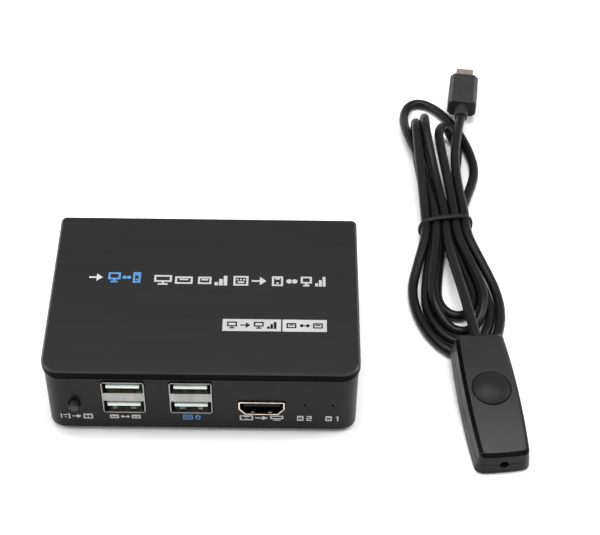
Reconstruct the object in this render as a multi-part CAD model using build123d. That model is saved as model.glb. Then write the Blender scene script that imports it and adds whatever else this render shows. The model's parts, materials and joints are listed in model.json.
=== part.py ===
from build123d import *
import math
import os

# A two-computer KVM switch box and its separate wired controller, in millimetres.
# The origin is the centre of the box's footprint on the table: +X is right, +Y is back, +Z is up.

# ---- switch box: driving dimensions ----
case_width = 103.4  # over the lid's sides
case_depth = 70.4  # over the lid's front and back
case_height = 30.7  # table to the top face
foot_height = 1.0
front_corner_r = 6.0
back_corner_r = 2.0
lid_side = 3.1  # height of the lid's dark side band
lid_wall = 2.0
lid_edge_bevel = 0.7
base_inset = 0.5  # base walls stand this far inside the lid's edge
base_wall = 2.0
seam_groove = 1.0  # height and depth of the shadow line under the lid
board_top = 9.4
board_thickness = 1.6
post_x, post_y = 45.6, 20.0
board_screw_x, board_screw_y = 43.0, 8.0
foot_x, foot_y, foot_r = 40.0, 26.0, 5.0
post_r = 3.2
post_top = 12.0  # where a base post meets its lid boss
standoff_r = 2.6
lip_thickness = 1.2  # lip of the lid inside the base walls
case_screw_r, board_screw_r = 1.3, 1.1

# ---- sockets ----
usb_stack_x = (-25.5, -3.5)
usb_width, usb_height, usb_depth = 13.9, 15.6, 17.0
usb_bottom = 9.85
usb_skin = 0.35
usb_lower_mouth = (10.2, 16.0)  # lowest and highest z of each mouth
usb_upper_mouth = (20.0, 25.1)
hdmi_out_x = 19.6
hdmi_in_x = (-16.0, 26.0)
hdmi_width, hdmi_height, hdmi_depth = 15.2, 6.5, 11.5
hdmi_centre_z = 12.7
usb_b_x = (-36.0, 6.0)
usb_b_width, usb_b_height, usb_b_depth = 12.0, 11.0, 15.5
micro_jack_x = 42.0
mouth_proud = 0.5  # socket mouths stand out of the case wall by this much
cut_gap = 0.25  # gap between a socket and its cut-out

# ---- front button and status lights ----
button_x, button_z = -41.8, 14.0
button_r = 1.6
button_proud = 2.4
button_hole_r = 2.1
led_x = {"pc1_led": 43.1, "pc2_led": 33.8}
led_z = 14.1
led_hole_r = 0.45

# ---- wired controller ----
remote_length = 50.6  # along the bottom edge
remote_end_width, remote_mid_width = 18.4, 20.3
remote_draft = 7.0  # degrees that the walls lean in towards the top
remote_end_height, remote_mid_height = 9.2, 10.2
remote_corner_r = 3.0
remote_wall = 1.4
remote_seam_z = 4.6
remote_groove = 0.2  # half width of the groove along the seam
remote_bevel = 1.1
remote_near_edge = (99.14, -50.57)  # middle of the near end's bottom edge on the table
remote_yaw, remote_tilt = 6.56, 5.0  # degrees: turned left, far end raised on the cord
remote_button_y = 26.5
remote_button_r = 6.4
remote_screw_x, remote_screw_y = 4.7, (6.0, 44.0)
cord_exit_y = 50.4  # where the cord leaves the far wall

# ---- cord, tie and plug ----
cord_d = 3.6
bundle_left, bundle_right = 77.2, 95.8
bundle_front, bundle_back = 50.0, 67.0
bundle_bottom, bundle_top = 1.15, 8.05  # the tie passes under it
tie_thickness = 1.1
plug_nose = (99.4, 143.4)  # middle of the overmould's front face
plug_yaw, plug_tilt = -7.4, -9.5
mould_width, mould_length, mould_height = 11.4, 22.0, 7.2
collar_r, collar_length = 2.6, 6.6
plug_shell_width, plug_shell_height, plug_shell_length = 6.9, 1.85, 8.0
# the cord's route where it is not folded into the hank
controller_lead = [
    (91.9, 9.0, 9.6),
    (89.7, 24.0, 9.2),
    (87.6, 39.0, 7.5),
    (86.6, bundle_front, 6.2),
]
plug_lead = [(93.6, bundle_back, 6.2), (92.3, 77.0, 6.8), (91.7, 90.0, 8.0), (93.1, 103.0, 8.8)]

# ---- worked out from the driving dimensions ----
lid_bottom = case_height - lid_side
groove_bottom = lid_bottom - seam_groove
wall_front = -case_depth / 2 + base_inset
wall_back = -wall_front
wall_inner_front = wall_front + base_wall
front_mouth = wall_front - mouth_proud
back_mouth = wall_back + mouth_proud
board_bottom = board_top - board_thickness
floor_top = foot_height + base_wall
running_gap = 0.02
remote_lean = math.tan(math.radians(remote_draft))  # how far a wall leans in over 1 mm


def block(x0, x1, y0, y1, z0, z1):
    """A box between two corners."""
    centre = Pos((x0 + x1) / 2, (y0 + y1) / 2, (z0 + z1) / 2)
    return centre * Box(x1 - x0, y1 - y0, z1 - z0)


def rod_z(x, y, z0, z1, r):
    """An upright cylinder."""
    return Pos(x, y, (z0 + z1) / 2) * Cylinder(r, z1 - z0)


def rod_y(x, z, y0, y1, r):
    """A cylinder that lies front to back."""
    return Pos(x, (y0 + y1) / 2, z) * Rot(90, 0, 0) * Cylinder(r, y1 - y0)


def front_plane(y, z=0.0):
    """A plane that faces the front, with its own Y along +Z."""
    return Plane(origin=(0, y, z), x_dir=(1, 0, 0), z_dir=(0, -1, 0))


def slab_y(outline, y0, y1, z):
    """A front-facing outline made solid between two depths."""
    return extrude(front_plane(y1, z) * outline, amount=y1 - y0)


def case_plan(inset, z0, z1):
    """The case's plan, drawn in by inset, made solid between two heights."""
    outline = Rectangle(case_width - 2 * inset, case_depth - 2 * inset)
    front = outline.vertices().sort_by(Axis.Y)[:2]
    outline = fillet(front, max(front_corner_r - inset, 0.5))
    back = outline.vertices().sort_by(Axis.Y)[-2:]
    outline = fillet(back, max(back_corner_r - inset, 0.3))
    return Pos(0, 0, z0) * extrude(outline, amount=z1 - z0)


def four(make, x, y):
    """A piece at the four places (+-x, +-y)."""
    return [make(sx * x, sy * y) for sx in (-1, 1) for sy in (-1, 1)]


def top_cover():
    """Lid: top wall, side band, a lip inside the base walls and four screw bosses."""
    lip_out = base_inset + base_wall + 0.15
    lip_in = lip_out + lip_thickness
    ceiling = case_height - lid_wall
    lid = case_plan(0, lid_bottom, case_height)
    lid = chamfer(lid.faces().sort_by(Axis.Z)[-1].edges(), lid_edge_bevel)
    lid -= case_plan(base_inset + base_wall + 0.1, lid_bottom - 1, ceiling)
    lip = case_plan(lip_out, lid_bottom - lip_thickness, ceiling + 0.1)
    lid += lip - case_plan(lip_in, lid_bottom - 2, ceiling)
    bosses = four(lambda x, y: rod_z(x, y, post_top + 0.05, ceiling + 0.1, post_r), post_x, post_y)
    pilots = four(lambda x, y: rod_z(x, y, post_top, 19.0, case_screw_r + running_gap), post_x, post_y)
    for boss, pilot in zip(bosses, pilots):
        lid = lid + boss - pilot
    return lid


def usb_b_outline(grow=0.0):
    """A USB-B mouth: a square with its two upper corners cut off."""
    w, h, c = 8.45 / 2 + grow, 7.8 / 2 + grow, 1.7
    return make_face(
        Polyline((-w, -h), (w, -h), (w, h - c), (w - c, h), (c - w, h), (-w, h - c), close=True)
    )


def hdmi_outline(grow=0.0):
    """The HDMI mouth's outline: straight sides above, slanted corners below."""
    w, h = hdmi_width / 2 + grow, hdmi_height / 2 + grow
    foot, knee = 5.4 + grow / 2, -0.3
    line = Polyline((-w, h), (w, h), (w, knee), (foot, -h), (-foot, -h), (-w, knee), close=True)
    face = make_face(line)
    return fillet(face.vertices(), 0.6 + max(grow, -0.3))


def base_shell():
    """Lower case: floor, walls with every cut-out, screw posts and board stand-offs."""
    shell = case_plan(base_inset, foot_height, groove_bottom)
    shell = chamfer(shell.faces().sort_by(Axis.Z)[0].edges(), 0.6)
    shell += case_plan(base_inset + seam_groove, groove_bottom - 0.1, lid_bottom)
    shell -= case_plan(base_inset + base_wall, floor_top, lid_bottom + 1)
    for post in four(lambda x, y: rod_z(x, y, floor_top - 0.1, post_top, post_r), post_x, post_y):
        shell += post
    for post in four(
        lambda x, y: rod_z(x, y, floor_top - 0.1, board_bottom, standoff_r), board_screw_x, board_screw_y
    ):
        shell += post
    holes = four(lambda x, y: rod_z(x, y, 0, 7.0, 2.8), post_x, post_y)
    holes += four(lambda x, y: rod_z(x, y, 6.0, 13.0, 1.5), post_x, post_y)
    holes += four(lambda x, y: rod_z(x, y, 4.0, 9.0, board_screw_r + running_gap), board_screw_x, board_screw_y)
    holes += four(lambda x, y: rod_z(x, y, 0, 1.3, foot_r + 0.1), foot_x, foot_y)
    for hole in holes:
        shell -= hole
    through = (wall_front - 1, wall_inner_front + 1)
    for x in usb_stack_x:
        frame = RectangleRounded(usb_width + 2 * cut_gap, usb_height + 2 * cut_gap, 1.0)
        shell -= Pos(x, 0, 0) * slab_y(frame, *through, usb_bottom + usb_height / 2)
    shell -= Pos(hdmi_out_x, 0, 0) * slab_y(hdmi_outline(cut_gap), *through, hdmi_centre_z)
    shell -= rod_y(button_x, button_z, *through, button_hole_r)
    for x in led_x.values():
        shell -= rod_y(x, led_z, *through, led_hole_r)
    for x in hdmi_in_x:
        cut = slab_y(hdmi_outline(cut_gap), *through, hdmi_centre_z)
        shell -= Pos(x, 0, 0) * Rot(0, 0, 180) * cut
    for x in usb_b_x:
        frame = Rectangle(usb_b_width + 2 * cut_gap, usb_b_height + 2 * cut_gap)
        cut = slab_y(frame, *through, board_top + usb_b_height / 2 + 0.1)
        shell -= Pos(x, 0, 0) * Rot(0, 0, 180) * cut
    cut = slab_y(RectangleRounded(8.4, 3.8, 1.2), *through, board_top + 1.45)
    shell -= Pos(micro_jack_x, 0, 0) * Rot(0, 0, 180) * cut
    return shell


def main_board():
    """Circuit board, notched round the screw posts."""
    board = block(-47.5, 47.5, -32.2, 32.2, board_bottom, board_top)
    for notch in four(lambda x, y: block(x - 4, x + 4, y - 4, y + 4, 0, 20), post_x, post_y):
        board -= notch
    for hole in four(lambda x, y: rod_z(x, y, 0, 20, 1.3), board_screw_x, board_screw_y):
        board -= hole
    return board


def leaf_springs(x_places, y_tip, z_wall, z_tip, width):
    """Bent leaves that rise from a mouth's lower wall to grip a plug."""
    leaves = []
    for x in x_places:
        line = Polyline(
            (y_tip + 6.0, z_wall), (y_tip, z_tip), (y_tip - 1.0, z_tip - 0.5),
            (y_tip - 1.0, z_tip - 0.7), (y_tip, z_tip - 0.25), (y_tip + 5.2, z_wall), close=True,
        )
        side = Plane(origin=(x - width / 2, 0, 0), x_dir=(0, 1, 0), z_dir=(1, 0, 0))
        leaves.append(extrude(side * make_face(line), amount=width))
    return leaves


def usb_stack_shell():
    """Folded metal shell of two USB-A mouths one above the other, mouth plane at y = 0."""
    centre = usb_bottom + usb_height / 2
    inner = usb_width - 2 * usb_skin
    shell = slab_y(RectangleRounded(usb_width, usb_height, 1.0), 0, usb_depth, centre)
    for low, high in (usb_lower_mouth, usb_upper_mouth):
        shell -= block(-inner / 2, inner / 2, -1, usb_depth + 1, low, high)
    low, high = usb_lower_mouth[1] + usb_skin, usb_upper_mouth[0] - usb_skin
    shell -= block(-inner / 2, inner / 2, usb_skin, usb_depth + 1, low, high)
    shell -= block(-inner / 2, inner / 2, 11.9, usb_depth + 1, usb_lower_mouth[0], usb_upper_mouth[1])
    for leaf in leaf_springs((-3.0, 3.0), 1.7, usb_lower_mouth[0] - 0.1, 11.9, 1.7):
        shell += leaf
    return shell


def usb_stack_tongues():
    """Lowest and highest z of the two tongues."""
    return [(high - 2.85, high - 1.35) for low, high in (usb_lower_mouth, usb_upper_mouth)]


def usb_stack_insulator():
    """White moulding: a block behind, and a tongue in each mouth."""
    half = usb_width / 2 - usb_skin - 0.05
    body = block(-half, half, 12.0, usb_depth - 0.1, usb_lower_mouth[0] + 0.05, usb_upper_mouth[1] - 0.05)
    for low, high in usb_stack_tongues():
        tongue = block(-5.4, 5.4, 0.15, 12.5, low, high)
        front = tongue.edges().filter_by(Axis.X).group_by(Axis.Y)[0]
        body += chamfer(front, 0.2)
    return body


def usb_stack_contacts():
    """Four spring contacts under each tongue."""
    strips = []
    for low, high in usb_stack_tongues():
        for x in (-3.5, -1.0, 1.0, 3.5):
            strips.append(block(x - 0.5, x + 0.5, 1.2, 11.95, low - 0.3, low))
    return Compound(strips)


def hdmi_shell():
    """Folded metal shell of an HDMI socket, mouth plane at y = 0."""
    shell = slab_y(hdmi_outline(), 0, hdmi_depth, hdmi_centre_z)
    shell -= slab_y(hdmi_outline(-0.45), -1, hdmi_depth + 1, hdmi_centre_z)
    wall = hdmi_centre_z - hdmi_height / 2 + 0.35
    for leaf in leaf_springs((-2.9, 2.9), 1.3, wall, wall + 1.2, 1.2):
        shell += leaf
    return shell


def hdmi_insulator():
    """Black moulding: a block behind and one wide tongue."""
    body = slab_y(hdmi_outline(-0.5), 8.6, hdmi_depth - 0.1, hdmi_centre_z)
    return body + block(-5.9, 5.9, 0.7, 8.8, hdmi_centre_z + 0.3, hdmi_centre_z + 1.7)


def hdmi_contacts():
    """Fine contacts above and below the tongue."""
    pins = []
    for i in range(10):
        x = (i - 4.5) * 1.0
        pins.append(block(x - 0.2, x + 0.2, 1.4, 8.55, hdmi_centre_z + 1.7, hdmi_centre_z + 1.8))
    for i in range(9):
        x = (i - 4.0) * 1.0
        pins.append(block(x - 0.2, x + 0.2, 1.4, 8.55, hdmi_centre_z + 0.2, hdmi_centre_z + 0.3))
    return Compound(pins)


def usb_b_shell():
    """Metal shell round a USB-B socket, mouth plane at y = 0."""
    centre = board_top + usb_b_height / 2
    shell = slab_y(Rectangle(usb_b_width, usb_b_height), 0, usb_b_depth, centre)
    inner = Rectangle(usb_b_width - 0.8, usb_b_height - 0.8)
    return shell - slab_y(inner, -1, usb_b_depth + 1, centre)


def usb_b_insulator():
    """White moulding with the mouth and its centre post."""
    centre = board_top + usb_b_height / 2
    frame = Rectangle(usb_b_width - 0.9, usb_b_height - 0.9)
    body = slab_y(frame, 0.3, usb_b_depth - 0.2, centre)
    body -= slab_y(usb_b_outline(), 0, 9.0, centre)
    return body + block(-2.8, 2.8, 1.2, 9.5, centre - 1.6, centre + 1.6)


def usb_b_contacts():
    """Two contacts above and two below the centre post."""
    centre = board_top + usb_b_height / 2
    strips = []
    for x in (-1.25, 1.25):
        strips.append(block(x - 0.5, x + 0.5, 2.2, 8.95, centre + 1.6, centre + 1.85))
        strips.append(block(x - 0.5, x + 0.5, 2.2, 8.95, centre - 1.85, centre - 1.6))
    return strips


def micro_outline(width, height):
    """The micro-USB outline: two lower corners cut off."""
    w, h, c = width / 2, height / 2, 0.8
    line = Polyline((-w, h), (w, h), (w, c - h), (w - c, -h), (c - w, -h), (-w, c - h), close=True)
    return make_face(line)


def micro_jack_shell():
    """Metal shell of the controller's jack, mouth plane at y = 0."""
    centre = board_top + 1.45
    shell = slab_y(micro_outline(7.7, 2.75), 0, 5.6, centre)
    return shell - slab_y(micro_outline(7.1, 2.15), -1, 5.0, centre)


def micro_jack_tongue():
    """The jack's inner tongue."""
    centre = board_top + 1.45
    return block(-1.9, 1.9, 0.6, 5.0, centre - 0.1, centre + 0.5)


def at_front(part, x):
    """A socket turned to the front wall."""
    return Pos(x, front_mouth, 0) * part


def at_back(part, x):
    """A socket turned to the rear wall."""
    return Pos(x, back_mouth, 0) * Rot(0, 0, 180) * part


def select_switch_body():
    """Upright push switch behind the front wall, hollow round its stem."""
    body = block(button_x - 3.1, button_x + 3.1, -30.9, -27.3, board_top, button_z + 3.1)
    body -= rod_y(button_x, button_z, -32, -30, button_r + 0.1)
    return body - rod_y(button_x, button_z, -30.5, -28.9, 2.5)


def select_switch_bracket():
    """Metal bracket over the switch, with a leg at each side."""
    left, right = button_x - 3.5, button_x + 3.5
    back = block(left, right, -27.28, -26.9, board_top, button_z + 3.5)
    top = block(left, right, -30.9, -26.9, button_z + 3.12, button_z + 3.5)
    sides = block(left, left + 0.38, -29.9, -26.9, board_top, button_z + 3.5)
    return back + top + sides + block(right - 0.38, right, -29.9, -26.9, board_top, button_z + 3.5)


def select_button():
    """Round push button, one piece with the switch's stem and its stop flange."""
    front = wall_front - button_proud
    stem = rod_y(button_x, button_z, front, -29.3, button_r)
    stem = fillet(stem.edges().group_by(Axis.Y)[0], 0.5)
    return stem + rod_y(button_x, button_z, -30.45, -29.3, 2.2)


def status_led(x):
    """A 3 mm lamp that faces its pinhole."""
    dome_tip = wall_inner_front + 0.3
    body = rod_y(x, led_z, dome_tip + 1.5, -27.6, 1.5)
    body += Pos(x, dome_tip + 1.5, led_z) * Sphere(1.5)
    return body + rod_y(x, led_z, -28.4, -27.6, 1.9)


def led_leads():
    """Bent wire leads of both lamps."""
    leads = []
    for x in led_x.values():
        for dx in (-1.0, 1.0):
            leg = block(x + dx - 0.25, x + dx + 0.25, -26.3, -25.8, board_top, led_z + 0.25)
            leads.append(leg + block(x + dx - 0.25, x + dx + 0.25, -27.6, -25.8, led_z - 0.25, led_z + 0.25))
    return Compound(leads)


def chip(x, y, size_x, size_y, height):
    """A chip package with a pin-one dimple."""
    body = block(x - size_x / 2, x + size_x / 2, y - size_y / 2, y + size_y / 2, board_top, board_top + height)
    body = chamfer(body.faces().sort_by(Axis.Z)[-1].edges(), 0.15)
    return body - rod_z(x - size_x / 2 + 1.1, y + size_y / 2 - 1.1, board_top + height - 0.15, 99, 0.4)


def electrolytic_capacitors():
    """Three upright capacitors."""
    cans = []
    for x, y in ((-22, 3), (-10, 3), (34, -4)):
        can = rod_z(x, y, board_top, board_top + 7.0, 2.5)
        cans.append(fillet(can.edges().group_by(Axis.Z)[-1], 0.4))
    return Compound(cans)


def ceramic_capacitors():
    """Rows of small capacitors beside the chips."""
    rows = []
    for i in range(6):
        for y in (-8.0, 13.0):
            x = 6.0 + 3.0 * i
            rows.append(block(x - 0.8, x + 0.8, y - 0.4, y + 0.4, board_top, board_top + 0.8))
    return Compound(rows)


def crystals():
    """Two metal-can crystals."""
    cans = []
    for x, y in ((-34, -10), (-34, 12)):
        outline = SlotOverall(11.0, 4.6)
        can = extrude(outline, amount=3.5)
        cans.append(Pos(x, y, board_top) * chamfer(can.faces().sort_by(Axis.Z)[-1].edges(), 0.4))
    return Compound(cans)


def voltage_regulator():
    """Three-legged regulator with its heat tab."""
    body = block(27.0, 33.5, 6.0, 9.5, board_top, board_top + 1.6)
    body += block(28.7, 31.8, 9.4, 11.2, board_top, board_top + 0.4)
    for x in (27.9, 30.25, 32.6):
        body += block(x - 0.35, x + 0.35, 4.2, 6.1, board_top, board_top + 0.4)
    return body


def rubber_feet():
    """Four round feet set into the floor."""
    def foot(x, y):
        disc = rod_z(x, y, 0, 1.3, foot_r)
        return chamfer(disc.edges().group_by(Axis.Z)[0], 0.3)
    return Compound(four(foot, foot_x, foot_y))


def screw(head_low, head_high, tip, head_r, shank_r):
    """A pan-head screw at the origin, with its cross slot cut in the head."""
    body = rod_z(0, 0, head_low, head_high, head_r)
    down = tip > head_high
    outer = body.edges().group_by(Axis.Z)[0 if down else -1]
    body = chamfer(outer, 0.3)
    slot_z = (head_low - 0.1, head_low + 0.6) if down else (head_high - 0.6, head_high + 0.1)
    for a, b in ((head_r * 0.6, 0.3), (0.3, head_r * 0.6)):
        body -= block(-a, a, -b, b, *slot_z)
    shank = (head_high - 0.05, tip) if down else (tip, head_low + 0.05)
    return body + rod_z(0, 0, *shank, shank_r)


def case_screws():
    """Four long screws up through the base posts into the lid."""
    one = screw(5.0, 7.0, 18.0, 2.5, case_screw_r)
    return Compound(four(lambda x, y: Pos(x, y, 0) * one, post_x, post_y))


def board_screws():
    """Four short screws that hold the board on its stand-offs."""
    one = screw(board_top, board_top + 1.6, 4.2, 2.2, board_screw_r)
    return Compound(four(lambda x, y: Pos(x, y, 0) * one, board_screw_x, board_screw_y))


# ---- wired controller, built flat with its near bottom edge at the origin, then put in place ----
def remote_place():
    """Where the controller lies."""
    x, y = remote_near_edge
    return Pos(x, y, 0) * Rot(0, 0, remote_yaw) * Rot(remote_tilt, 0, 0)


def remote_outline(inset):
    """Plan of the controller: bowed sides and rounded corners."""
    w, m = remote_end_width / 2 - inset, remote_mid_width / 2 - inset
    low, high, mid = inset, remote_length - inset, remote_length / 2
    bow = 0.4
    lines = [
        ThreePointArc((-w, low), (0, low - bow), (w, low)),
        ThreePointArc((w, low), (m, mid), (w, high)),
        ThreePointArc((w, high), (0, high + bow), (-w, high)),
        ThreePointArc((-w, high), (-m, mid), (-w, low)),
    ]
    face = make_face(lines)
    return fillet(face.vertices(), remote_corner_r - inset * 0.8)


def remote_under(drop):
    """The space under the controller's crowned top, lowered by drop."""
    end, mid = remote_end_height - drop, remote_mid_height - drop
    length = remote_length
    sides = Polyline((length + 3, end), (length + 3, -1), (-3, -1), (-3, end))
    crown = ThreePointArc((-3, end), (length / 2, mid), (length + 3, end))
    side = Plane(origin=(-20, 0, 0), x_dir=(0, 1, 0), z_dir=(1, 0, 0))
    return extrude(side * make_face(sides.edges() + crown.edges()), amount=40)


def remote_slice(low_inset, high_inset, z0, z1):
    """A slice of the controller between two heights, each with its own inset from the leaning walls."""
    levels = ((low_inset, z0), (high_inset, z1))
    outlines = [Pos(0, 0, z) * remote_outline(inset + z * remote_lean) for inset, z in levels]
    return loft(outlines, ruled=True)


def remote_body(inset, drop, z0, z1):
    """The controller's form, drawn in by inset and lowered by drop, between two heights."""
    return remote_slice(inset, inset, z0, z1) & remote_under(drop)


def controller_top_shell():
    """Upper half: crowned top with a wide bevel, button opening and screw bosses."""
    seam = remote_seam_z + 0.03
    shell = remote_body(0, 0, seam + remote_groove, 12)
    top = shell.faces().sort_by(Axis.Z)[-1]
    shell = chamfer(top.edges(), remote_bevel)
    shell += remote_slice(remote_groove, 0, seam, seam + remote_groove)
    shell -= remote_body(remote_wall, remote_wall, seam - 1, 12)
    y = remote_button_y
    for sx in (-1, 1):
        for sy in remote_screw_y:
            post = rod_z(sx * remote_screw_x, sy, seam, 12, 1.75) & remote_under(0.5)
            shell += post
            shell -= rod_z(sx * remote_screw_x, sy, 0, 7.2, 0.8 + running_gap)
    shell -= rod_z(0, y, 7, 12, remote_button_r + 0.3)
    shell -= rod_y(0, remote_seam_z, -3, 3, 1.55)
    return shell - rod_y(0, remote_seam_z, remote_length - 3, remote_length + 3, cord_d / 2 + 0.05)


def controller_bottom_shell():
    """Lower half: floor, walls and screw bosses."""
    seam = remote_seam_z - 0.03
    shell = remote_body(0, 0, 0, seam - remote_groove)
    shell = chamfer(shell.faces().sort_by(Axis.Z)[0].edges(), 0.6)
    shell += remote_slice(0, remote_groove, seam - remote_groove, seam)
    shell -= remote_body(remote_wall, 0, remote_wall, 12)
    for sx in (-1, 1):
        for sy in remote_screw_y:
            x = sx * remote_screw_x
            shell += rod_z(x, sy, 0.9, seam, 1.75)
            shell -= rod_z(x, sy, 0, 12, 0.9)
            shell -= rod_z(x, sy, -1, 1.3, 1.6)
    for y in (12.0, 38.0):
        for x in (-4.5, 4.5):
            shell += rod_z(x, y, remote_wall - 0.1, 2.2, 1.2)
    shell -= rod_y(0, remote_seam_z, -3, 3, 1.55)
    return shell - rod_y(0, remote_seam_z, remote_length - 3, remote_length + 3, cord_d / 2 + 0.05)


def controller_board():
    """The controller's small circuit board."""
    return block(-6.2, 6.2, 9.0, 41.0, 2.2, 3.2)


def controller_switch_body():
    """Square push switch on the board."""
    y = remote_button_y
    body = block(-3.0, 3.0, y - 3.0, y + 3.0, 3.2, 6.6)
    return body - rod_z(0, y, 5.0, 8, 1.8)


def controller_switch_plunger():
    """The switch's moving plunger."""
    return rod_z(0, remote_button_y, 5.6, 7.4, 1.7)


def controller_button():
    """Domed push button with a stop flange under the top shell and a boss over the plunger."""
    y = remote_button_y
    rim_z, crown = 10.35, 1.45
    sphere_r = (remote_button_r ** 2 + crown ** 2) / (2 * crown)
    dome = Pos(0, y, rim_z + crown - sphere_r) * Sphere(sphere_r)
    cap = rod_z(0, y, 8.2, 13, remote_button_r) & dome
    rim = cap.edges().filter_by(lambda edge: edge.length > 6 * remote_button_r and edge.center().Z > 9)
    cap = fillet(rim, 0.3)
    cap += rod_z(0, y, 7.9, 8.55, 7.1)
    return cap + rod_z(0, y, 7.42, 8.0, 1.7)


def controller_screws():
    """Four small screws up through the bottom shell."""
    one = screw(0.35, 1.3, 6.9, 1.5, 0.8)
    places = [(sx * remote_screw_x, sy) for sx in (-1, 1) for sy in remote_screw_y]
    return Compound([Pos(x, y, 0) * one for x, y in places])


def cord_inner_end():
    """The cord's last stretch, inside the controller."""
    return rod_y(0, remote_seam_z, 42.5, cord_exit_y - 0.2, cord_d / 2)


def cord_anchor():
    """A crimped ring on the cord that stops it from being pulled out."""
    ring = rod_y(0, remote_seam_z, 44.6, 46.6, 2.6)
    return ring - rod_y(0, remote_seam_z, 44, 47, cord_d / 2)


def controller_wires():
    """The cord's two cores, from its cut end down to the board."""
    wires = []
    for side in (-1, 1):
        points = [(0.8 * side, 42.5, remote_seam_z), (0.8 * side, 40.9, remote_seam_z), (2.4 * side, 38.6, 3.7)]
        path = FilletPolyline(*points, radius=0.9)
        section = Plane(origin=points[0], z_dir=(0, -1, 0)) * Circle(0.45)
        wires.append(sweep(section, path=path))
    return Compound(wires)


# ---- plug, built level with its front face at the origin, then put in place ----
def plug_place():
    """Where the plug lies: its nose on the table, its collar on a loop of the cord."""
    x, y = plug_nose
    z = mould_height / 2 * math.cos(math.radians(plug_tilt)) + 0.1
    return Pos(x, y, z) * Rot(0, 0, plug_yaw) * Rot(plug_tilt, 0, 0)


def plug_overmould():
    """Moulded grip with bevelled long edges and shoulders."""
    w, h = mould_width / 2, mould_height / 2
    body = block(-w, w, -mould_length, 0, -h, h)
    body = chamfer(body.edges().filter_by(Axis.Y), 1.5)
    body = chamfer(body.faces().sort_by(Axis.Y)[-1].edges(), 0.8)
    body = chamfer(body.faces().sort_by(Axis.Y)[0].edges(), 0.5)
    return body - slab_y(micro_outline(plug_shell_width + 0.04, plug_shell_height + 0.04), -6, 1, 0)


def plug_collar():
    """Round strain-relief collar, one moulding round the cord."""
    back = -mould_length
    collar = rod_y(0, 0, back - collar_length, back, collar_r)
    return chamfer(collar.edges().group_by(Axis.Y)[0], 0.5)


def plug_shell():
    """The plug's metal shell, open at its tip."""
    shell = slab_y(micro_outline(plug_shell_width, plug_shell_height), -5.9, plug_shell_length, 0)
    return shell - slab_y(micro_outline(plug_shell_width - 0.6, plug_shell_height - 0.6), -3, 9, 0)


def plug_contact_block():
    """The plug's inner block."""
    return block(-2.3, 2.3, -2.9, 6.6, -0.6, 0.0)


def tube(points):
    """A tube along straight runs joined by arcs as large as the runs allow."""
    vectors = [Vector(*p) for p in points]
    runs = [b - a for a, b in zip(vectors, vectors[1:])]
    radii = []
    for a, b in zip(runs, runs[1:]):
        half_turn = math.radians(a.get_angle(b)) / 2
        radii.append(0.45 * min(a.length, b.length) / math.tan(half_turn))
    path = FilletPolyline(*points, radius=radii)
    section = Plane(origin=points[0], z_dir=runs[0].normalized()) * Circle(cord_d / 2)
    solid = sweep(section, path=path)
    print("arc radii", [round(r, 1) for r in radii], "tube", round(path.length, 1), "mm,",
          "volume share", round(solid.volume / (path.length * math.pi * cord_d ** 2 / 4), 4))
    return solid


def outlined(points, radius, z0, z1):
    """A rounded outline made solid between two heights."""
    face = make_face(Polyline(*points, close=True))
    face = fillet(face.vertices(), radius)
    return Pos(0, 0, z0) * extrude(face, amount=z1 - z0)


def cord_hank():
    """Outer form of the folded cord: two flat bulbs, a tied waist and the raised folds."""
    low = 3.7
    front = [(76.5, 53.0), (71.3, 36.0), (71.3, 22.0), (77.5, 4.0), (86.5, -7.2), (100.0, -7.2),
             (105.3, 5.0), (104.8, 16.0), (96.5, 53.0)]
    back = [(76.5, 64.0), (71.4, 104.0), (71.4, 124.0), (78.5, 134.8), (89.0, 134.8), (99.0, 124.0),
            (102.0, 106.0), (101.6, 86.0), (96.5, 64.0)]
    folds = [(77.4, 64.0), (74.0, 92.0), (74.0, 119.5), (89.5, 119.5), (89.5, 64.0)]
    hank = outlined(front, 4.0, 0.02, low) + outlined(back, 4.0, 0.02, low)
    waist = block(bundle_left, bundle_right, bundle_front, bundle_back, bundle_bottom, bundle_top)
    hank -= block(70, 110, bundle_front, bundle_back, -1, bundle_bottom)
    hank += chamfer(waist.edges().filter_by(Axis.Y), 1.2)
    side = Plane(origin=(60, 0, 0), x_dir=(0, 1, 0), z_dir=(1, 0, 0))
    profile = make_face(
        Polyline((66.0, 1.2), (66.0, 8.0), (78.0, 11.0), (104.0, 14.0), (119.5, 14.4), (119.5, 1.2), close=True)
    )
    mound = outlined(folds, 2.5, 0.5, 16.0) & extrude(side * profile, amount=50)
    half = mould_width / 2 + 0.3
    under_plug = plug_place() * block(-half, half, -mould_length - 0.3, 12, -12, 8)
    return hank + mound - under_plug


def cord_tie():
    """One round band about the bundle's waist."""
    x, z = (bundle_left + bundle_right) / 2, (bundle_bottom + bundle_top) / 2
    width, height = bundle_right - bundle_left, bundle_top - bundle_bottom
    outer = RectangleRounded(width + 2 * tie_thickness, height + 2 * tie_thickness, 2.4)
    band = slab_y(outer, -0.9, 0.9, 0)
    band = fillet(band.edges().group_by(Axis.Y)[0] + band.edges().group_by(Axis.Y)[-1], 0.4)
    hole = block(-width / 2, width / 2, -2, 2, -height / 2, height / 2)
    hole = chamfer(hole.edges().filter_by(Axis.Y), 1.2)
    return Pos(x, 58.0, z) * (band - hole)


def controller_exit():
    """The point where the cord leaves the controller."""
    return tuple((remote_place() * Pos(0, cord_exit_y, remote_seam_z)).position)


def plug_entry():
    """The point where the cord enters the plug's collar."""
    return tuple((plug_place() * Pos(0, -mould_length - collar_length - 0.3, 0)).position)


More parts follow.
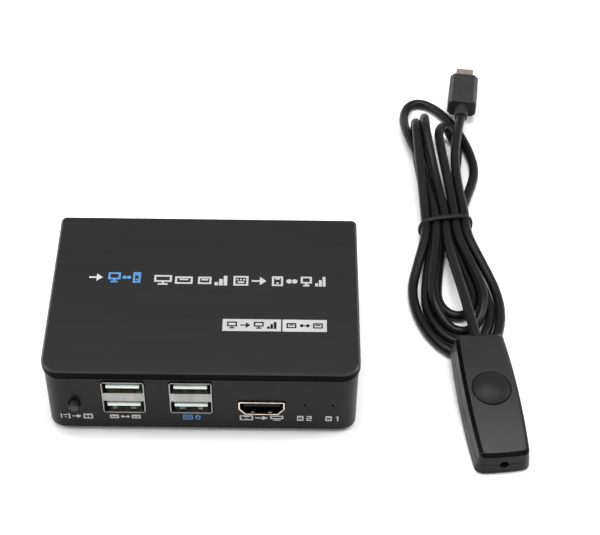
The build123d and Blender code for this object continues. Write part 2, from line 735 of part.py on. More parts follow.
def build():
    """Every node by name."""
    nodes = {"top_cover": top_cover(), "base_shell": base_shell(), "main_board": main_board()}
    for side, x in zip(("left", "right"), usb_stack_x):
        nodes[f"usb_stack_{side}_shell"] = at_front(usb_stack_shell(), x)
        nodes[f"usb_stack_{side}_insulator"] = at_front(usb_stack_insulator(), x)
        nodes[f"usb_stack_{side}_contacts"] = at_front(usb_stack_contacts(), x)
    nodes["hdmi_out_shell"] = at_front(hdmi_shell(), hdmi_out_x)
    nodes["hdmi_out_insulator"] = at_front(hdmi_insulator(), hdmi_out_x)
    nodes["hdmi_out_contacts"] = at_front(hdmi_contacts(), hdmi_out_x)
    for number, x in enumerate(hdmi_in_x, 1):
        nodes[f"hdmi_in_{number}_shell"] = at_back(hdmi_shell(), x)
        nodes[f"hdmi_in_{number}_insulator"] = at_back(hdmi_insulator(), x)
        nodes[f"hdmi_in_{number}_contacts"] = at_back(hdmi_contacts(), x)
    for number, x in enumerate(usb_b_x, 1):
        nodes[f"usb_b_{number}_shell"] = at_back(usb_b_shell(), x)
        nodes[f"usb_b_{number}_insulator"] = at_back(usb_b_insulator(), x)
    nodes["usb_b_contacts"] = Compound([at_back(c, x) for x in usb_b_x for c in usb_b_contacts()])
    nodes["micro_jack_shell"] = at_back(micro_jack_shell(), micro_jack_x)
    nodes["micro_jack_tongue"] = at_back(micro_jack_tongue(), micro_jack_x)
    nodes["select_switch_body"] = select_switch_body()
    nodes["select_switch_bracket"] = select_switch_bracket()
    nodes["select_button"] = select_button()
    for name, x in led_x.items():
        nodes[name] = status_led(x)
    nodes["led_leads"] = led_leads()
    nodes["hdmi_switch_chip"] = chip(14.0, 2.5, 10.0, 10.0, 1.2)
    nodes["usb_hub_chip"] = chip(-20.0, -10.0, 7.0, 7.0, 1.0)
    nodes["control_chip"] = chip(-6.0, -9.0, 5.0, 6.2, 1.5)
    nodes["electrolytic_capacitors"] = electrolytic_capacitors()
    nodes["ceramic_capacitors"] = ceramic_capacitors()
    nodes["crystals"] = crystals()
    nodes["voltage_regulator"] = voltage_regulator()
    nodes["rubber_feet"] = rubber_feet()
    nodes["case_screws"] = case_screws()
    nodes["board_screws"] = board_screws()
    remote = {
        "controller_top_shell": controller_top_shell(),
        "controller_bottom_shell": controller_bottom_shell(),
        "controller_board": controller_board(),
        "controller_switch_body": controller_switch_body(),
        "controller_switch_plunger": controller_switch_plunger(),
        "controller_button": controller_button(),
        "controller_screws": controller_screws(),
        "controller_wires": controller_wires(),
        "cord_inner_end": cord_inner_end(),
        "cord_anchor": cord_anchor(),
    }
    plug = {
        "plug_overmould": plug_overmould(),
        "plug_collar": plug_collar(),
        "plug_shell": plug_shell(),
        "plug_contact_block": plug_contact_block(),
    }
    nodes.update({name: remote_place() * part for name, part in remote.items()})
    nodes.update({name: plug_place() * part for name, part in plug.items()})
    nodes["cord_controller_lead"] = tube([controller_exit(), *controller_lead])
    nodes["cord_plug_lead"] = tube([*plug_lead, plug_entry()])
    nodes["cord_hank"] = cord_hank()
    nodes["cord_tie"] = cord_tie()
    return nodes


if __name__ == "__main__":
    os.makedirs("parts", exist_ok=True)
    print("cord leaves the controller at", [round(c, 2) for c in controller_exit()])
    print("cord enters the plug at", [round(c, 2) for c in plug_entry()])
    for name, part in build().items():
        export_step(part, f"parts/{name}.step")
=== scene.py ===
"""Looks of a two-computer switch box and its wired controller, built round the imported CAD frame."""
import json
import math

import bmesh
import bpy
from mathutils import Matrix, Vector


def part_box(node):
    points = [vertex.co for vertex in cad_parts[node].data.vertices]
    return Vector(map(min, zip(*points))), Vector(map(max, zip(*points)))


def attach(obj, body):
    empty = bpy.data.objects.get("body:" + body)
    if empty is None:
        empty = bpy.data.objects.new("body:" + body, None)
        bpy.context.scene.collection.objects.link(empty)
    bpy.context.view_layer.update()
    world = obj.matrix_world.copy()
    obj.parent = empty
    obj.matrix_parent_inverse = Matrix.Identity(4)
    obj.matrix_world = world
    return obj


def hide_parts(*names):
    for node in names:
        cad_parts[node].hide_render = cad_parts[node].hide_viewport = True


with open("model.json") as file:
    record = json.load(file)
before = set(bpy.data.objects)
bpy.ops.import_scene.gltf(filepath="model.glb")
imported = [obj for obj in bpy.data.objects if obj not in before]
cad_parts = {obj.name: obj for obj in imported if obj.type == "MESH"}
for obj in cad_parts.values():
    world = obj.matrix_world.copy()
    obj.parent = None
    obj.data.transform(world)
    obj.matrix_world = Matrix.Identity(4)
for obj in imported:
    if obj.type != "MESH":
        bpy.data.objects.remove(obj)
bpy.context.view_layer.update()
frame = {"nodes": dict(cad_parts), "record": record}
nodes = frame["nodes"]
MM = 0.001

# ---- driving values, in millimetres unless a name says otherwise ----
lid_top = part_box("top_cover")[1].z / MM
base_low, base_high = (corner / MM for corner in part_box("base_shell"))
front_wall = base_low.y
base_half_width = base_high.x
base_corner_r = 5.5
ink_lift = 0.03
cord_d = 3.6


# ---- camera, light and floor ----
def add_camera():
    """The camera, turned to look down at the front of the box."""
    data = bpy.data.cameras.new("camera")
    data.lens = 94.03
    data.sensor_width = 36.0
    camera = bpy.data.objects.new("camera", data)
    turn = Matrix.Rotation(math.radians(-0.777), 4, "Z")
    pitch = Matrix.Rotation(math.radians(43.08), 4, "X")
    roll = Matrix.Rotation(math.radians(1.258), 4, "Z")
    place = Matrix.Translation(Vector((26.93, -353.33, 421.2)) * MM)
    camera.matrix_world = place @ turn @ pitch @ roll
    bpy.context.scene.collection.objects.link(camera)
    bpy.context.scene.camera = camera


def add_softbox(name, place, target, width, height, power):
    """One rectangular softbox that faces a target."""
    data = bpy.data.lights.new(name, "AREA")
    data.shape = "RECTANGLE"
    data.size = width
    data.size_y = height
    data.energy = power
    lamp = bpy.data.objects.new(name, data)
    lamp.location = place
    lamp.rotation_euler = (Vector(target) - Vector(place)).to_track_quat("-Z", "Y").to_euler()
    bpy.context.scene.collection.objects.link(lamp)


def add_world():
    """A pale surround: bright low down, dark at a middle height, and bright again overhead."""
    world = bpy.data.worlds.new("surround")
    world.use_nodes = True
    tree = world.node_tree
    direction = tree.nodes.new("ShaderNodeTexCoord")
    split = tree.nodes.new("ShaderNodeSeparateXYZ")
    tree.links.new(direction.outputs["Generated"], split.inputs["Vector"])
    ramp = tree.nodes.new("ShaderNodeValToRGB")
    tree.links.new(split.outputs["Z"], ramp.inputs["Fac"])
    stops = ((0.0, 0.95), (0.5, 0.7), (0.7, 0.48), (0.8, 0.12), (0.9, 0.22), (0.97, 0.75))
    while len(ramp.color_ramp.elements) < len(stops):
        ramp.color_ramp.elements.new(0.5)
    for element, (at, grey) in zip(ramp.color_ramp.elements, stops):
        element.position = at
        element.color = (grey, grey, grey, 1.0)
    tree.links.new(ramp.outputs["Color"], tree.nodes["Background"].inputs["Color"])
    bpy.context.scene.world = world


def add_floor():
    """The pale table top."""
    half = 4.0
    corners = [(-half, -half, 0), (half, -half, 0), (half, half, 0), (-half, half, 0)]
    mesh = bpy.data.meshes.new("floor")
    mesh.from_pydata(corners, [], [(0, 1, 2, 3)])
    floor = bpy.data.objects.new("floor", mesh)
    bpy.context.scene.collection.objects.link(floor)
    material = Look("floor_pale", (0.93, 0.93, 0.93), 0.6)
    material.mottle((0.92, 0.92, 0.925), (0.94, 0.94, 0.94), 6.0)
    mesh.materials.append(material.material)


# ---- materials ----
class Look:
    """A procedural material that is built up step by step."""

    def __init__(self, name, color, roughness, metallic=0.0, specular=0.5):
        self.material = bpy.data.materials.new(name)
        self.material.use_nodes = True
        self.tree = self.material.node_tree
        self.shader = self.tree.nodes["Principled BSDF"]
        self.set("Base Color", (*color, 1.0))
        self.set("Roughness", roughness)
        self.set("Metallic", metallic)
        self.set("Specular IOR Level", specular)
        self.place = self.add("ShaderNodeTexCoord").outputs["Object"]
        self.bumps = []

    def add(self, kind, **settings):
        """Adds a node and sets its properties."""
        node = self.tree.nodes.new(kind)
        for key, value in settings.items():
            setattr(node, key, value)
        return node

    def link(self, out, into):
        """Joins an output to an input."""
        self.tree.links.new(out, into)

    def set(self, socket, value):
        """Sets one of the shader's own sockets."""
        self.shader.inputs[socket].default_value = value

    def stretched(self, factors):
        """Object coordinates multiplied axis by axis."""
        mapping = self.add("ShaderNodeMapping")
        mapping.inputs["Scale"].default_value = factors
        self.link(self.place, mapping.inputs["Vector"])
        return mapping.outputs["Vector"]

    def noise(self, scale, detail=3.0, stretch=(1, 1, 1)):
        """A noise value between 0 and 1. The scale is in cells per metre."""
        node = self.add("ShaderNodeTexNoise")
        node.inputs["Scale"].default_value = scale
        node.inputs["Detail"].default_value = detail
        self.link(self.stretched(stretch), node.inputs["Vector"])
        return node.outputs["Fac"]

    def ramp(self, value, stops):
        """Colours by value."""
        node = self.add("ShaderNodeValToRGB")
        elements = node.color_ramp.elements
        while len(elements) < len(stops):
            elements.new(0.5)
        for element, (at, color) in zip(elements, stops):
            element.position = at
            element.color = (*color, 1.0)
        self.link(value, node.inputs["Fac"])
        return node.outputs["Color"]

    def mix(self, factor, first, second):
        """Two colours mixed by a factor."""
        node = self.add("ShaderNodeMix", data_type="RGBA")
        self.link(factor, node.inputs["Factor"])
        for value, socket in ((first, node.inputs["A"]), (second, node.inputs["B"])):
            if isinstance(value, tuple):
                socket.default_value = (*value, 1.0)
            else:
                self.link(value, socket)
        return node.outputs["Result"]

    def ranged(self, value, low, high, start=0.3, end=0.7):
        """A value carried from the range start-end to low-high."""
        node = self.add("ShaderNodeMapRange")
        for name, number in (("From Min", start), ("From Max", end), ("To Min", low), ("To Max", high)):
            node.inputs[name].default_value = number
        self.link(value, node.inputs["Value"])
        return node.outputs["Result"]

    def mottle(self, dark, light, scale, detail=3.0, stretch=(1, 1, 1)):
        """Colour that varies softly over the surface."""
        color = self.ramp(self.noise(scale, detail, stretch), [(0.3, dark), (0.7, light)])
        self.link(color, self.shader.inputs["Base Color"])
        return color

    def uneven(self, low, high, scale, detail=4.0, stretch=(1, 1, 1)):
        """Roughness that varies over the surface."""
        value = self.ranged(self.noise(scale, detail, stretch), low, high)
        self.link(value, self.shader.inputs["Roughness"])
        return value

    def grain(self, scale, depth, detail=2.0, stretch=(1, 1, 1), strength=1.0):
        """Fine relief. The depth is in metres."""
        bump = self.add("ShaderNodeBump")
        bump.inputs["Strength"].default_value = strength
        bump.inputs["Distance"].default_value = depth
        self.link(self.noise(scale, detail, stretch), bump.inputs["Height"])
        if self.bumps:
            self.link(self.bumps[-1].outputs["Normal"], bump.inputs["Normal"])
        self.bumps.append(bump)
        self.link(bump.outputs["Normal"], self.shader.inputs["Normal"])


def satin_plastic(name, dark, light, rough_low, rough_high, grain_depth=0.000012, specular=0.3):
    """Black moulded plastic with a fine spark-eroded texture."""
    look = Look(name, light, rough_high, specular=specular)
    look.mottle(dark, light, 60.0)
    look.uneven(rough_low, rough_high, 140.0)
    look.grain(2600.0, grain_depth)
    return look


def lid_look():
    """The lid's top: satin black with a fine straight grain across it."""
    look = Look("lid_satin", (0.008, 0.008, 0.008), 0.42, specular=0.22)
    hairlines = look.noise(900.0, 4.0, (0.02, 1.0, 1.0))
    streaks = look.ramp(hairlines, [(0.3, (0.0062, 0.0062, 0.0063)), (0.7, (0.0082, 0.0082, 0.0084))])
    cloud = look.noise(25.0, 2.0)
    color = look.mix(look.ranged(cloud, 0.0, 0.35), streaks, (0.0095, 0.0095, 0.0096))
    look.link(color, look.shader.inputs["Base Color"])
    look.uneven(0.39, 0.44, 700.0, 3.0, (0.03, 1.0, 1.0))
    look.grain(1500.0, 0.0000025, 3.0, (0.02, 1.0, 1.0))
    return look


def sheet_metal(name, dark, light, rough_low, rough_high, stretch=(1, 1, 0.06)):
    """Plated sheet with faint rolling lines."""
    look = Look(name, light, rough_low, metallic=1.0)
    look.mottle(dark, light, 500.0, 3.0, stretch)
    look.uneven(rough_low, rough_high, 900.0, 3.0, stretch)
    look.grain(2400.0, 0.000004, 2.0, stretch)
    return look


def board_look():
    """Green solder mask with tracks under it."""
    look = Look("board_mask", (0.01, 0.09, 0.035), 0.3)
    tracks = look.noise(260.0, 1.0, (1.0, 0.2, 1.0))
    color = look.ramp(tracks, [(0.45, (0.006, 0.06, 0.024)), (0.5, (0.015, 0.13, 0.05))])
    look.link(color, look.shader.inputs["Base Color"])
    look.uneven(0.25, 0.4, 200.0)
    look.grain(260.0, 0.00002, 1.0, (1.0, 0.2, 1.0))
    return look


def cord_look():
    """Soft black jacket with a faint bloom."""
    look = Look("cord_jacket", (0.004,) * 3, 0.4, specular=0.2)
    look.mottle((0.0015, 0.0015, 0.0017), (0.0028, 0.0028, 0.0031), 90.0)
    look.uneven(0.33, 0.44, 260.0)
    look.grain(1800.0, 0.000012)
    look.set("Sheen Weight", 0.01)
    look.set("Sheen Roughness", 0.5)
    return look


def led_look():
    """Clear epoxy."""
    look = Look("led_epoxy", (0.85, 0.9, 0.95), 0.12)
    look.set("Transmission Weight", 0.7)
    look.mottle((0.8, 0.86, 0.9), (0.9, 0.94, 0.97), 300.0)
    look.grain(900.0, 0.00001)
    return look


def make_looks():
    """Every material by the record's slot."""
    looks = {
        "lid_plastic": lid_look(),
        "base_plastic": satin_plastic("base_satin", (0.004,) * 3, (0.006,) * 3, 0.3, 0.4, specular=0.12),
        # Painted highlight: the lid's bevel faces get a lighter, glossier copy of the lid plastic.
        "lid_bevel_painted_highlight": satin_plastic("lid_bevel_painted_highlight", (0.022,) * 3, (0.028,) * 3, 0.3, 0.36, specular=0.3),
        # Painted shade: the lid's side faces get a near-black copy of the lid plastic with almost no
        # reflection.
        "lid_side_painted_shade": satin_plastic("lid_side_painted_shade", (0.001,) * 3, (0.0015,) * 3, 0.3, 0.4, specular=0.02),
        # Painted shade: the controller's bevel faces get a darker copy of its plastic.
        "remote_edge_painted_shade": satin_plastic("remote_edge_painted_shade", (0.002,) * 3, (0.003,) * 3, 0.22, 0.3, specular=0.08),
        # Painted shade: the controller's side faces and bottom shell get a darker copy of its plastic.
        "remote_side_painted_shade": satin_plastic("remote_side_painted_shade", (0.002,) * 3, (0.003,) * 3, 0.3, 0.4, specular=0.14),
        "remote_plastic": satin_plastic("remote_satin", (0.007,) * 3, (0.0095,) * 3, 0.34, 0.42),
        "remote_button": satin_plastic(
            "remote_button_satin", (0.006,) * 3, (0.008,) * 3, 0.4, 0.5, specular=0.16),
        "plug_plastic": satin_plastic("plug_satin", (0.009,) * 3, (0.013,) * 3, 0.36, 0.48, specular=0.22),
        "button_plastic": satin_plastic("knob_satin", (0.015,) * 3, (0.025,) * 3, 0.4, 0.5),
        "socket_black": satin_plastic("socket_black", (0.003,) * 3, (0.005,) * 3, 0.4, 0.5, specular=0.1),
        "chip_black": satin_plastic("chip_epoxy", (0.014,) * 3, (0.022,) * 3, 0.45, 0.6),
        "foot_rubber": satin_plastic("foot_rubber", (0.012,) * 3, (0.02,) * 3, 0.6, 0.8, 0.00003),
        "tie_rubber": satin_plastic("tie_band", (0.003,) * 3, (0.005,) * 3, 0.35, 0.5, specular=0.2),
        "core_insulation": satin_plastic("core_red", (0.35, 0.02, 0.015), (0.45, 0.03, 0.02), 0.3, 0.4),
        "socket_white": satin_plastic("socket_white", (0.62, 0.7, 0.66), (0.72, 0.79, 0.75), 0.3, 0.42),
        "ceramic": satin_plastic("ceramic", (0.36, 0.25, 0.15), (0.5, 0.36, 0.22), 0.4, 0.6),
        "print_white": satin_plastic("ink_white", (0.42,) * 3, (0.48,) * 3, 0.5, 0.6, 0.000004),
        "print_silver": satin_plastic("ink_silver", (0.34,) * 3, (0.4,) * 3, 0.42, 0.55, 0.000004),
        "print_blue": satin_plastic("ink_blue", (0.05, 0.17, 0.36), (0.07, 0.21, 0.42), 0.5, 0.6, 0.000004),
        "socket_steel": sheet_metal("socket_nickel", (0.24, 0.235, 0.235), (0.33, 0.325, 0.32), 0.28, 0.38),
        "hdmi_metal": sheet_metal("socket_bronze", (0.5, 0.42, 0.34), (0.72, 0.62, 0.53), 0.22, 0.34),
        "contact_gold": sheet_metal("gold_flash", (0.7, 0.5, 0.2), (0.85, 0.64, 0.3), 0.2, 0.32),
        "tinned_wire": sheet_metal("tinned_wire", (0.6,) * 3, (0.75,) * 3, 0.25, 0.4),
        "can_aluminium": sheet_metal("drawn_can", (0.65,) * 3, (0.78,) * 3, 0.25, 0.38),
        "screw_steel": sheet_metal("zinc_plate", (0.4,) * 3, (0.55,) * 3, 0.3, 0.42),
        "plug_metal": sheet_metal("plug_nickel", (0.3, 0.26, 0.25), (0.42, 0.37, 0.35), 0.26, 0.36),
        "board_green": board_look(),
        "cord_rubber": cord_look(),
        "led_clear": led_look(),
    }
    return looks


def dress_cad_nodes():
    """Gives each CAD node the material of its slot."""
    for row in frame["record"]["subparts"]:
        mesh = nodes[row["node"]].data
        mesh.materials.clear()
        mesh.materials.append(looks[row["material_slot"]].material)


def paint_light_by_slope(name, look_name, low, high):
    """Gives a node's faces another material where their upward share is between low and high: a lighter copy
    of the plastic as a painted highlight, or a darker copy as painted shade.
    """
    node = nodes[name]
    turn = node.matrix_world.to_3x3()
    node.data.materials.append(looks[look_name].material)
    index = len(node.data.materials) - 1
    for face in node.data.polygons:
        if low < (turn @ face.normal).normalized().z < high:
            face.material_index = index


def paint_mouth_shade(name, look_name):
    """Gives the inside walls of a socket's shell a black material, as painted shade inside the mouth."""
    low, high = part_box(name)
    centre = (low + high) / 2
    node = nodes[name]
    turn = node.matrix_world
    node.data.materials.append(looks[look_name].material)
    index = len(node.data.materials) - 1
    for face in node.data.polygons:
        outward = turn @ face.center - centre
        normal = turn.to_3x3() @ face.normal
        if abs(normal.y) < 0.5 and outward.x * normal.x + outward.z * normal.z < 0:
            face.material_index = index


# ---- the controller's cord ----
tie_front, tie_back = 53.0, 64.0
tie_slots = {
    "upper_1": (79.1, 6.15), "upper_2": (82.8, 6.17), "upper_3": (86.5, 6.2),
    "upper_4": (90.2, 6.17), "upper_5": (93.9, 6.15),
    "lower_1": (80.95, 2.97), "lower_2": (84.65, 2.97), "lower_3": (88.35, 2.97), "lower_4": (92.05, 2.97),
}
controller_exit = (93.45, -1.09, 8.98)
controller_lead = [(91.9, 9.0, 9.6), (89.7, 24.0, 9.2), (87.6, 39.0, 7.5), (86.6, 50.0, 6.2)]
plug_lead = [(93.6, 67.0, 6.2), (92.3, 77.0, 6.8), (91.7, 90.0, 8.0), (93.1, 103.0, 8.8)]
plug_entry = (95.73, 115.13, 8.42)


class Bight:
    """One bend of the hank: an arc of an ellipse about a centre, with a straight leg to the tie at each side.

    reach is the arc's half length along Y, and spread its half width, sideways and upright. lean turns the
    widest place towards one leg. early and late carry the arc on past its half turn, all in degrees.
    dip lowers its tip, and lift its first leg.
    """

    def __init__(self, start, end, centre, reach, spread, lean=0, early=0, late=0, dip=0.0, lift=0.0):
        self.start = start
        self.end = end
        self.centre = centre
        self.reach = reach
        self.spread = spread
        self.lean = math.radians(lean)
        self.early = early
        self.late = late
        self.dip = dip
        self.lift = lift

    def points(self, mouth_y):
        """The bend's points, from its first tie slot to its second."""
        arc_points = 9
        arc = []
        for i in range(arc_points):
            degrees = 180 + self.early - (180 + self.early + self.late) * i / (arc_points - 1)
            angle = math.radians(degrees)
            across = math.cos(angle - self.lean)
            along = math.sin(angle)
            x = self.centre[0] + self.spread[0] * across
            y = self.centre[1] + self.reach * along
            z = self.centre[2] + self.spread[1] * across - self.dip * max(along, 0.0) ** 2
            arc.append((x, y, z))
        start, end = in_tie(self.start, mouth_y), in_tie(self.end, mouth_y)
        route = [halfway(start, arc[0], self.lift), *arc, halfway(arc[-1], end, 0.0)]
        lowest = cord_d / 2 + 0.03
        return [(x, y, max(z, lowest)) for x, y, z in route]


def in_tie(name, y):
    """A place in the tie."""
    x, z = tie_slots[name]
    return (x, y, z)


def halfway(a, b, lift):
    """The middle of a leg, raised by lift."""
    return ((a[0] + b[0]) / 2, (a[1] + b[1]) / 2, (a[2] + b[2]) / 2 + lift)


bights = [
    Bight("upper_3", "lower_2", (81.2, 102.3, 5.5), 12.0, (0.3, -7.8), -1, 0, 1, -1.4, -2.3),
    Bight("lower_2", "lower_3", (88.4, 25.8, 1.8), -10.0, (6.8, 0.0), 2, 12, 11, 0.0, -0.6),
    Bight("lower_3", "upper_4", (90.2, 101.0, 4.3), 10.1, (-4.1, 5.9), -1, 1, 1, -1.6, -1.7),
    Bight("upper_4", "upper_2", (88.9, 24.5, 5.3), -16.1, (-9.3, 0.0), -5, 11, 10, 4.3, -0.2),
    Bight("upper_2", "lower_4", (86.8, 104.3, 4.1), 27.3, (13.6, -2.3), -31, 23, 32, 11.0, 0.0),
    Bight("lower_4", "lower_1", (88.9, 21.1, 1.8), -18.4, (-11.6, 0.0), -8, 12, 11, 0.0, -0.8),
    Bight("lower_1", "upper_1", (77.6, 102.6, 6.6), 9.2, (-0.2, 6.0), 1, 1, 2, 0.0, -0.9),
    Bight("upper_1", "upper_5", (88.4, 23.5, 1.8), -26.8, (15.8, 0.6), 10, 12, 9, 0.0, 0.3),
]
last_in_tie = 60.5  # where the last passage ends, before the cord turns to the plug


def hank_points():
    """The folded part of the cord, bight after bight, with two points in the tie between them."""
    first_in_tie = 57.0
    points = [in_tie("upper_3", first_in_tie), in_tie("upper_3", tie_back)]
    for number, bight in enumerate(bights):
        behind = number % 2 == 0
        points += bight.points(tie_back if behind else tie_front)
        through = (tie_back, tie_front) if behind else (tie_front, tie_back)
        if bight is bights[-1]:
            through = (tie_front, last_in_tie)
        points += [in_tie(bight.end, y) for y in through]
    return points


def nurbs_line(name, points):
    """A smooth curve with the points, in millimetres, as its control points."""
    curve = bpy.data.curves.new(name, "CURVE")
    curve.dimensions = "3D"
    spline = curve.splines.new("NURBS")
    spline.points.add(len(points) - 1)
    for point, place in zip(spline.points, points):
        point.co = (*(Vector(place) * MM), 1.0)
    spline.order_u = 3
    spline.use_endpoint_u = True
    curve.resolution_u = 8
    return curve


def add_cord():
    """The whole cord, from the controller to the plug."""
    route = [controller_exit, *controller_lead, *hank_points(), *plug_lead, plug_entry]
    curve = nurbs_line("cord", route)
    curve.bevel_depth = cord_d / 2 * MM
    curve.bevel_resolution = 6
    curve.use_fill_caps = True
    curve.materials.append(looks["cord_rubber"].material)
    cord = bpy.data.objects.new("cord", curve)
    bpy.context.scene.collection.objects.link(cord)
    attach(cord, "controller")
    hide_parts("cord_controller_lead", "cord_hank", "cord_plug_lead")
    return cord


def add_tie():
    """The round band about the hank's waist: one closed ring that follows the bundle."""
    low, high = (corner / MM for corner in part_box("cord_tie"))
    centre = (low + high) / 2
    inset = 0.9  # from the CAD band's outside to the middle of this one
    half_x, half_z = (high.x - low.x) / 2 - inset, (high.z - low.z) / 2 - inset
    squareness_x, squareness_z = 0.55, 0.75  # 1 is an ellipse, less is nearer to a rectangle
    tilt, slant = 1.6, 1.3  # how far its sides, and its top, are shifted along Y
    thick, broad = 0.85, 1.15  # half sizes of its own section
    ring, section = 72, 12
    verts, faces = [], []
    for i in range(ring):
        angle = math.tau * i / ring
        across = math.copysign(abs(math.cos(angle)) ** squareness_x, math.cos(angle))
        up = math.copysign(abs(math.sin(angle)) ** squareness_z, math.sin(angle))
        middle = Vector((half_x * across, tilt * across + slant * math.sin(angle), half_z * up))
        outward = Vector((math.cos(angle) / half_x, 0, math.sin(angle) / half_z)).normalized()
        ahead = (i + 1) % ring * section
        for j in range(section):
            turn = math.tau * j / section
            offset = outward * (thick * math.cos(turn)) + Vector((0, broad * math.sin(turn), 0))
            verts.append((centre + middle + offset) * MM)
            beside = (j + 1) % section
            faces.append((i * section + j, ahead + j, ahead + beside, i * section + beside))
    tie = mesh_piece("cord_tie_band", verts, faces, "tie_rubber", "controller")
    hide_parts("cord_tie")
    return tie


# ---- mesh pieces ----
def mesh_piece(name, verts, faces, slot, body, smooth=True):
    """A mesh that rides on a CAD body and takes a slot's material."""
    mesh = bpy.data.meshes.new(name)
    mesh.from_pydata([tuple(v) for v in verts], [], faces)
    mesh.validate()
    fix = bmesh.new()
    fix.from_mesh(mesh)
    bmesh.ops.recalc_face_normals(fix, faces=fix.faces)
    fix.to_mesh(mesh)
    fix.free()
    mesh.polygons.foreach_set("use_smooth", [smooth] * len(mesh.polygons))
    mesh.materials.append(looks[slot].material)
    piece = bpy.data.objects.new(name, mesh)
    bpy.context.scene.collection.objects.link(piece)
    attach(piece, body)
    return piece


# ---- ink marks: flat outlines in a mark's own plane, x to the right and y up ----
def rectangle(x0, y0, x1, y1):
    """A filled rectangle."""
    return [[(x0, y0), (x1, y0), (x1, y1), (x0, y1)]]


def ellipse(cx, cy, rx, ry, steps=24):
    """A filled ellipse."""
    return [[(cx + rx * math.cos(math.tau * i / steps), cy + ry * math.sin(math.tau * i / steps))
             for i in range(steps)]]


def border(x0, y0, x1, y1, line):
    """A rectangle's outline, as four bars that meet edge to edge."""
    return (
        rectangle(x0, y0, x1, y0 + line) + rectangle(x0, y1 - line, x1, y1)
        + rectangle(x0, y0 + line, x0 + line, y1 - line) + rectangle(x1 - line, y0 + line, x1, y1 - line)
    )


def circle_line(cx, cy, rx, ry, line, steps=24):
    """An ellipse's outline."""
    quads = []
    for i in range(steps):
        a, b = math.tau * i / steps, math.tau * (i + 1) / steps
        quads.append([
            (cx + rx * math.cos(a), cy + ry * math.sin(a)),
            (cx + rx * math.cos(b), cy + ry * math.sin(b)),
            (cx + (rx - line) * math.cos(b), cy + (ry - line) * math.sin(b)),
            (cx + (rx - line) * math.cos(a), cy + (ry - line) * math.sin(a)),
        ])
    return quads


def screen_mark(x, y, w, h, line):
    """A display: a frame on a short stand."""
    foot = 0.16 * h
    stem = rectangle(x + w / 2 - line / 2, y + foot, x + w / 2 + line / 2, y + 0.3 * h)
    base = rectangle(x + 0.22 * w, y, x + 0.78 * w, y + foot)
    return border(x, y + 0.3 * h, x + w, y + h, line) + stem + base


def keyboard_mark(x, y, w, h, line):
    """A keyboard: a frame with a row of keys and a space bar."""
    keys = []
    for i in range(3):
        at = x + w * (0.22 + 0.22 * i)
        keys += rectangle(at, y + 0.55 * h, at + 0.12 * w, y + 0.55 * h + line)
    space_bar = rectangle(x + 0.28 * w, y + 0.27 * h, x + 0.72 * w, y + 0.27 * h + line)
    return border(x, y, x + w, y + h, line) + keys + space_bar


def mouse_mark(x, y, w, h, line):
    """A mouse: an oval with a wheel."""
    wheel = rectangle(x + w / 2 - line / 2, y + 0.55 * h, x + w / 2 + line / 2, y + 0.8 * h)
    return circle_line(x + w / 2, y + h / 2, w / 2, h / 2, line) + wheel


def arrow_mark(x, y, w, h, line):
    """An arrow that points right: a shaft and a head."""
    neck, mid = 0.55 * w, y + h / 2
    shaft = rectangle(x, mid - line / 2, x + neck, mid + line / 2)
    return shaft + [[(x + neck, mid - 0.42 * h), (x + w, mid), (x + neck, mid + 0.42 * h)]]


def port_mark(x, y, w, h, line):
    """A socket: a frame with a tongue."""
    tongue = rectangle(x + 0.25 * w, y + 0.5 * h, x + 0.75 * w, y + 0.5 * h + line)
    return border(x, y + 0.12 * h, x + w, y + 0.88 * h, line) + tongue


def tower_mark(x, y, w, h, line):
    """A computer: an upright case with a slot and a lamp."""
    slot = rectangle(x + 0.3 * w, y + 0.68 * h, x + 0.7 * w, y + 0.68 * h + line)
    lamp = ellipse(x + 0.5 * w, y + 0.3 * h, 0.6 * line, 0.6 * line, 12)
    return border(x, y, x + w, y + h, line) + slot + lamp


def bars_mark(x, y, w, h, line):
    """Three bars that step up."""
    shapes = []
    for i in range(3):
        at = x + w * i / 3
        shapes += rectangle(at, y, at + w / 3 - 0.4 * line, y + h * (i + 1) / 3)
    return shapes


def link_mark(x, y, w, h, line):
    """Two discs joined by a bar."""
    r = 0.22 * h
    mid = y + h / 2
    return (ellipse(x + r, mid, r, r, 16) + ellipse(x + w - r, mid, r, r, 16)
            + rectangle(x + 2.1 * r, mid - line / 2, x + w - 2.1 * r, mid + line / 2))


def digit_mark(digit, x, y, w, h, line):
    """A plain numeral, 1 or 2."""
    if digit == 1:
        return (rectangle(x + 0.45 * w, y, x + 0.45 * w + line, y + h)
                + [[(x + 0.1 * w, y + 0.72 * h), (x + 0.45 * w, y + 0.78 * h), (x + 0.45 * w, y + h)]])
    half = (h - line) / 2
    return (rectangle(x, y, x + w, y + line) + rectangle(x, y + half, x + w, y + half + line)
            + rectangle(x, y + h - line, x + w, y + h) + rectangle(x, y + line, x + line, y + half)
            + rectangle(x + w - line, y + half + line, x + w, y + h - line))


def on_lid(x, y, lift):
    """A place on the lid's top face."""
    return Vector((x, y, lid_top + lift)) * MM


def on_front(x, z, lift):
    """A place on the front wall, which turns back at its rounded corners."""
    past = max(0.0, abs(x) - (base_half_width - base_corner_r))
    y = front_wall + base_corner_r - math.sqrt(base_corner_r ** 2 - past ** 2)
    return Vector((x, y - lift, z)) * MM


def print_marks(name, shapes, slot, place, lift=ink_lift):
    """Flat shapes laid on a surface as a thin skin of ink with closed sides."""
    sunk = -0.02
    verts, faces = [], []
    for shape in shapes:
        count, first = len(shape), len(verts)
        verts += [place(x, y, sunk) for x, y in shape] + [place(x, y, lift) for x, y in shape]
        faces.append(tuple(first + count + i for i in range(count)))
        faces.append(tuple(first + i for i in reversed(range(count))))
        for i in range(count):
            after = (i + 1) % count
            faces.append((first + i, first + after, first + count + after, first + count + i))
    return mesh_piece(name, verts, faces, slot, "switch_box", smooth=False)


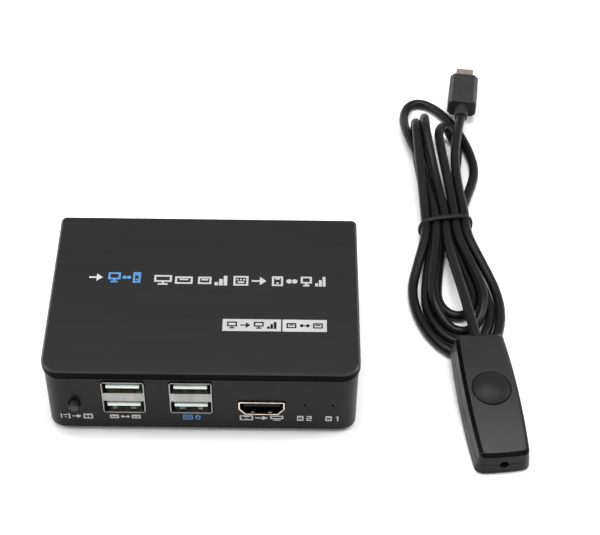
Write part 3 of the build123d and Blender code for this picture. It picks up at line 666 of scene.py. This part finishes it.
def row_of_marks(makers, x0, x1, y0, y1, line, gap):
    """Marks of equal width set side by side between x0 and x1."""
    width = (x1 - x0 + gap) / len(makers) - gap
    shapes = []
    for number, maker in enumerate(makers):
        shapes += maker(x0 + number * (width + gap), y0, width, y1 - y0, line)
    return shapes


def add_lid_print():
    """Print on the lid: a blue group of marks, a silver row of marks and a pale strip."""
    blue = (screen_mark(-33.0, 3.9, 4.2, 4.6, 0.75) + link_mark(-28.2, 4.6, 3.0, 3.4, 0.7)
            + tower_mark(-24.6, 3.9, 2.6, 4.8, 0.7))
    print_marks("lid_print_blue", blue, "print_blue", on_lid)
    print_marks("lid_print_white", arrow_mark(-39.4, 4.2, 4.6, 4.0, 0.7), "print_white", on_lid)
    groups = [
        ((-17.4, -4.4), [screen_mark, port_mark]),
        ((-2.6, 7.6), [port_mark, bars_mark]),
        ((9.4, 20.6), [keyboard_mark, arrow_mark]),
        ((22.4, 40.8), [tower_mark, link_mark, screen_mark, bars_mark]),
    ]
    silver = []
    gap = 1.1
    for (x0, x1), makers in groups:
        silver += row_of_marks(makers, x0, x1, 3.1, 7.5, 0.7, gap)
    print_marks("lid_print_silver", silver, "print_silver", on_lid)
    strip_low, strip_high = -17.1, -11.9
    strip = rectangle(6.4, strip_low, 25.7, strip_high) + rectangle(26.2, strip_low, 40.8, strip_high)
    print_marks("lid_print_strip", strip, "print_silver", on_lid)
    low, high, line = strip_low + 1.1, strip_high - 1.1, 0.5
    dark = row_of_marks([screen_mark, arrow_mark, screen_mark, bars_mark], 7.9, 24.4, low, high, line, gap)
    dark += row_of_marks([port_mark, link_mark, port_mark], 27.5, 39.5, low, high, line, gap)
    print_marks("lid_print_dark", dark, "socket_black", on_lid, ink_lift + 0.02)


def add_front_print():
    """Print under the sockets: what each one is for, as marks and plain numerals."""
    low, high, line = 5.9, 8.4, 0.42
    white = []
    for x0, x1, makers in (
        (-46.9, -36.3, [tower_mark, arrow_mark, tower_mark]),
        (-30.6, -20.5, [port_mark, link_mark, port_mark]),
        (12.4, 26.8, [tower_mark, arrow_mark, screen_mark]),
    ):
        white += row_of_marks(makers, x0, x1, low, high, line, 0.7)
    height = high - low
    for digit, x in ((2, 31.4), (1, 40.8)):
        white += tower_mark(x, low, 2.1, height, line)
        white += digit_mark(digit, x + 3.1, low, 1.7, height, line)
    print_marks("front_print_white", white, "print_white", on_front)
    blue = keyboard_mark(-6.4, low, 3.2, height, line) + mouse_mark(-2.4, low, 1.8, height, line)
    print_marks("front_print_blue", blue, "print_blue", on_front)


# ---- build ----
bpy.context.scene.view_settings.view_transform = "Standard"
add_camera()
add_world()
add_softbox("overhead", (0.05, 0.12, 1.1), (0.03, 0.03, 0), 0.9, 0.5, 13.0)
add_softbox("left", (-0.9, -0.1, 0.7), (0.0, 0.0, 0), 0.4, 0.6, 5.5)
add_softbox("right", (1.0, 0.1, 0.6), (0.05, 0.0, 0), 0.3, 0.6, 4.5)
looks = make_looks()
dress_cad_nodes()
# Painted highlight: a lighter copy of the lid plastic on the lid's bevel.
paint_light_by_slope("top_cover", "lid_bevel_painted_highlight", 0.35, 0.92)
# Painted shade: a near-black copy on the lid's sides.
paint_light_by_slope("top_cover", "lid_side_painted_shade", -0.5, 0.35)
# Painted shade: a darker copy on the controller's bevel.
paint_light_by_slope("controller_top_shell", "remote_edge_painted_shade", 0.35, 0.92)
# Painted shade: darker copies on the sides of the controller's top shell and on its bottom shell.
paint_light_by_slope("controller_top_shell", "remote_side_painted_shade", -0.3, 0.35)
paint_light_by_slope("controller_bottom_shell", "remote_side_painted_shade", -0.9, 0.35)
# Painted shade: the inside walls of the HDMI shell are turned black.
paint_mouth_shade("hdmi_out_shell", "socket_black")
add_floor()
cord = add_cord()
tie = add_tie()
add_lid_print()
add_front_print()
